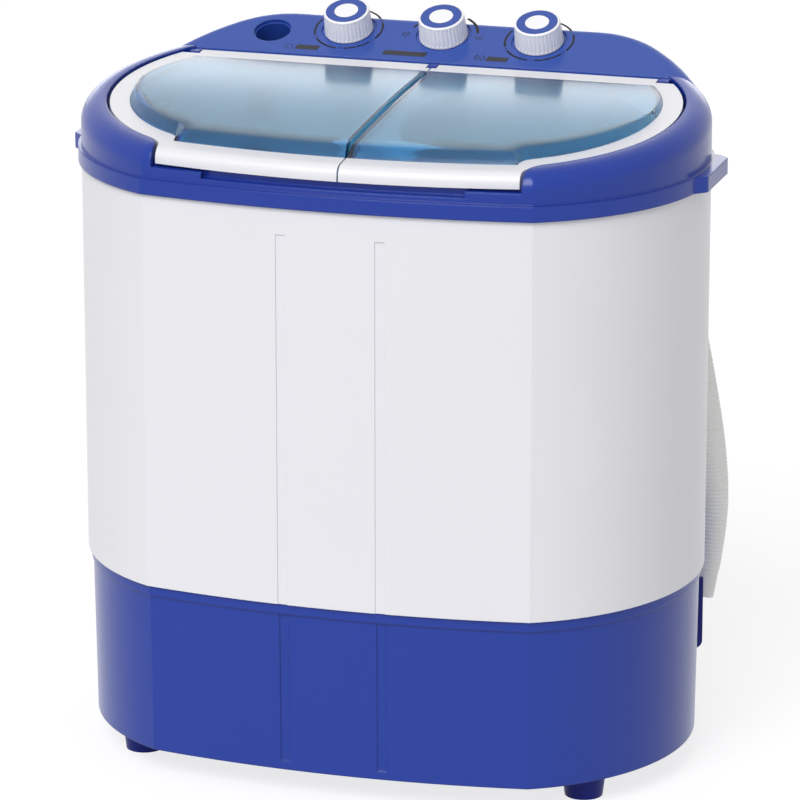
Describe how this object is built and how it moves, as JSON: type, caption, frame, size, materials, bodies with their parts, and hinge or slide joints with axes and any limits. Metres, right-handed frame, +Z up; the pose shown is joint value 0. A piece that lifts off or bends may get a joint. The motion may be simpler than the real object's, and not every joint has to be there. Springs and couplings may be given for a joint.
{
  "type": "twin-tub washing machine",
  "caption": "Small upright twin-tub washing machine: wash tub and spin dryer under hinged see-through lids, turn knobs on a sloping console, ribbed drain hose at the back.",
  "frame": {"origin": "on the floor, under the middle of the machine's outline without the loose hose", "axes": "+Z up, -Y towards the user's side with the front panel, +X to the right as the user sees it"},
  "size_m": [0.589, 0.4156, 0.6538],
  "materials": {
    "white_plastic": "smooth moulded, slightly glossy",
    "blue_plastic": "smooth moulded, slightly glossy",
    "panel_plastic": "smooth moulded, satin",
    "foot_plastic": "moulded, satin",
    "tub_plastic": "smooth moulded",
    "tinted_window": "clear blue-tinted moulding, polished",
    "hose_plastic": "ribbed flexible plastic",
    "black_plastic": "moulded",
    "rubber": "soft moulded",
    "steel": "bright drawn",
    "motor_casting": "die cast"
  },
  "bodies": {
    "machine": {"cabinet": "white_plastic", "base": "blue_plastic", "feet": "foot_plastic", "top_frame": "blue_plastic", "control_panel": "panel_plastic", "water_inlet": "panel_plastic", "water_chute": "tub_plastic", "hinge_rod": "steel", "wash_tub": "tub_plastic", "lint_filter": "panel_plastic", "bearing_housing": "motor_casting", "drive_belt": "rubber", "wash_motor": "motor_casting", "capacitor": "black_plastic", "spin_tub": "tub_plastic", "spin_seal": "rubber", "spin_motor": "motor_casting", "spin_mounts": "rubber", "drain_manifold": "tub_plastic", "drain_pipe": "tub_plastic", "drain_valve": "tub_plastic", "hose_outlet": "hose_plastic", "drain_hose": "hose_plastic", "hose_clip": "blue_plastic", "hose_guide": "foot_plastic", "cable_gland": "black_plastic", "rear_cover": "white_plastic", "cover_screws": "steel", "wash_timer_body": "black_plastic", "drain_selector_body": "black_plastic", "spin_timer_body": "black_plastic"},
    "wash_lid": {"wash_lid_frame": "white_plastic", "wash_lid_window": "tinted_window"},
    "spin_lid": {"spin_lid_frame": "white_plastic", "spin_lid_window": "tinted_window"},
    "wash_timer_dial": {"wash_timer_knob": "white_plastic", "wash_timer_ring": "panel_plastic", "wash_timer_spindle": "steel"},
    "drain_selector_dial": {"drain_selector_knob": "white_plastic", "drain_selector_ring": "panel_plastic", "drain_selector_spindle": "steel"},
    "spin_timer_dial": {"spin_timer_knob": "white_plastic", "spin_timer_ring": "panel_plastic", "spin_timer_spindle": "steel"},
    "pulsator_drive": {"pulsator": "panel_plastic", "pulsator_shaft": "steel", "wash_pulley": "black_plastic"},
    "wash_motor_rotor": {"motor_pulley": "motor_casting", "motor_shaft": "steel"},
    "spin_rotor": {"spin_basket": "tub_plastic", "press_plate": "panel_plastic", "spin_shaft": "steel", "brake_drum": "motor_casting"},
    "brake_arm": {"brake_lever": "steel"},
    "drain_plunger": {"valve_plunger": "rubber", "pull_rod": "black_plastic"}
  },
  "joints": [
    {"name": "wash_lid_hinge", "type": "hinge", "parent": "machine", "child": "wash_lid", "pos_m": [0, 0.0995, 0.60431], "axis": [-1, 0, 0], "range_deg": [0, 95]},
    {"name": "spin_lid_hinge", "type": "hinge", "parent": "machine", "child": "spin_lid", "pos_m": [0, 0.0995, 0.60431], "axis": [-1, 0, 0], "range_deg": [0, 95]},
    {"name": "wash_timer_turn", "type": "hinge", "parent": "machine", "child": "wash_timer_dial", "pos_m": [-0.09, 0.14696, 0.62739], "axis": [0, 0.3907, -0.9205], "range_deg": [0, 300]},
    {"name": "drain_selector_turn", "type": "hinge", "parent": "machine", "child": "drain_selector_dial", "pos_m": [0.001, 0.14696, 0.62739], "axis": [0, 0.3907, -0.9205], "range_deg": [0, 90]},
    {"name": "spin_timer_turn", "type": "hinge", "parent": "machine", "child": "spin_timer_dial", "pos_m": [0.092, 0.14696, 0.62739], "axis": [0, 0.3907, -0.9205], "range_deg": [0, 300]},
    {"name": "pulsator_spin", "type": "hinge", "parent": "machine", "child": "pulsator_drive", "pos_m": [-0.122, -0.032, 0.15], "axis": [0, 0, 1], "continuous": true},
    {"name": "wash_motor_spin", "type": "hinge", "parent": "machine", "child": "wash_motor_rotor", "pos_m": [-0.008, 0.045, 0.1], "axis": [0, 0, 1], "continuous": true},
    {"name": "spin_basket_spin", "type": "hinge", "parent": "machine", "child": "spin_rotor", "pos_m": [0.125, -0.023, 0.2], "axis": [0, 0, 1], "continuous": true},
    {"name": "brake_lever_swing", "type": "hinge", "parent": "machine", "child": "brake_arm", "pos_m": [0.193, -0.069, 0.18], "axis": [0, 0, 1], "range_deg": [0, 6.05]},
    {"name": "drain_valve_lift", "type": "slide", "parent": "machine", "child": "drain_plunger", "axis": [0, 0, 1], "range_m": [0, 0.0081]}
  ],
  "couplings": [
    {"joint": "wash_motor_spin", "follows": "pulsator_spin", "ratio": 3.2167},
    {"joint": "brake_lever_swing", "follows": "spin_lid_hinge", "ratio": 0.063158},
    {"joint": "drain_valve_lift", "follows": "drain_selector_turn", "m_per_rad": 0.005093}
  ]
}
